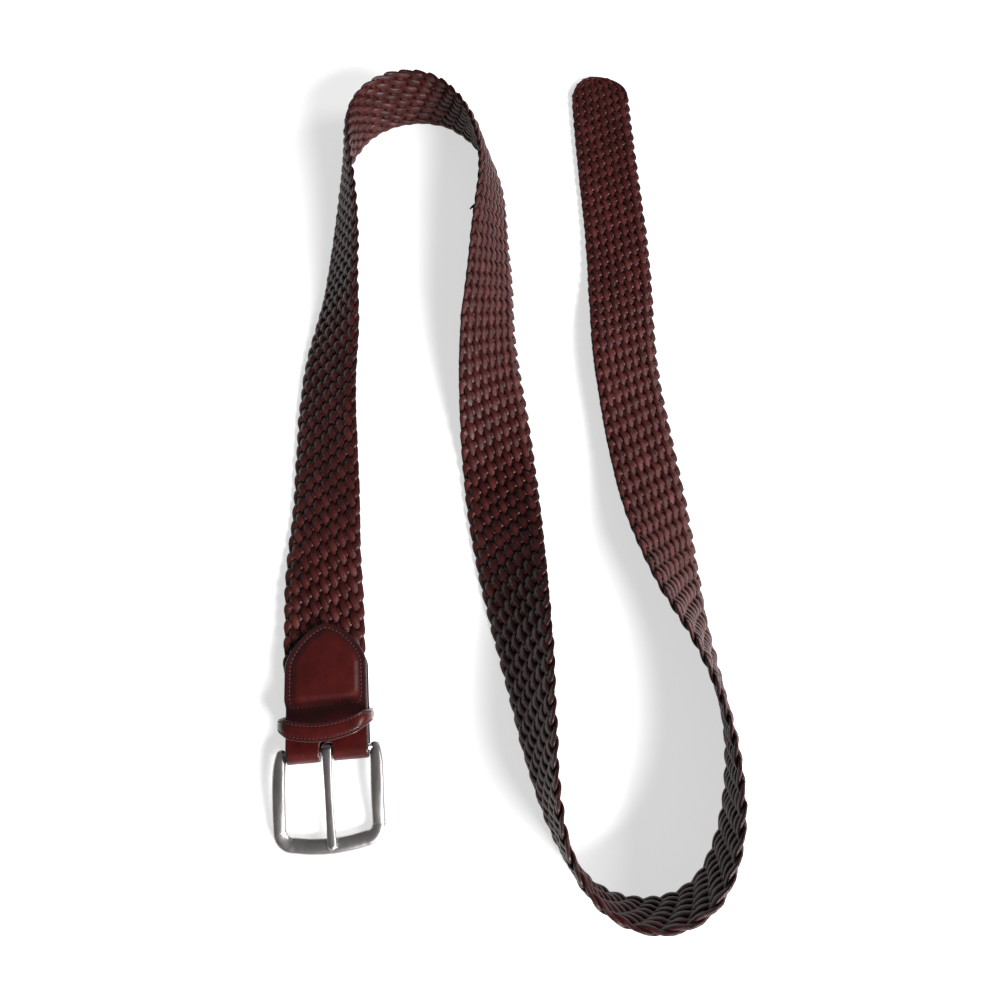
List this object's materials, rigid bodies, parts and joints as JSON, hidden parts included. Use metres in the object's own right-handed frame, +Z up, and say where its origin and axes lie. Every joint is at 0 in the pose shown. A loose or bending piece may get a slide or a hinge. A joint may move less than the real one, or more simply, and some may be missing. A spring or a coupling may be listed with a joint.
{
  "type": "braided belt",
  "caption": "Braided leather belt with a stitched tab, a leather keeper and a brushed metal prong buckle, lying open in two loops that stand on their edges",
  "frame": {"origin": "middle of the plane that the belt lies on", "axes": "+X to the viewer's right, +Y away from the viewer, +Z up"},
  "size_m": [0.185, 0.4544, 0.032],
  "materials": {
    "braid_leather": "soft satin leather laces",
    "smooth_leather": "smooth leather with a soft gloss",
    "nickel": "brushed nickel"
  },
  "bodies": {
    "strap": {"braided_band": "braid_leather", "buckle_tab": "smooth_leather", "keeper": "smooth_leather"},
    "frame": {"buckle_frame": "nickel"},
    "prong": {"prong": "nickel"}
  },
  "joints": [
    {"name": "frame_hinge", "type": "hinge", "parent": "strap", "child": "frame", "pos_m": [-0.06436, -0.16353, 0.0055], "axis": [-0.9954, -0.0958, 0], "range_deg": [0, 75]},
    {"name": "prong_hinge", "type": "hinge", "parent": "strap", "child": "prong", "pos_m": [-0.06436, -0.16353, 0.0055], "axis": [-0.9954, -0.0958, 0], "range_deg": [0, 80]}
  ]
}
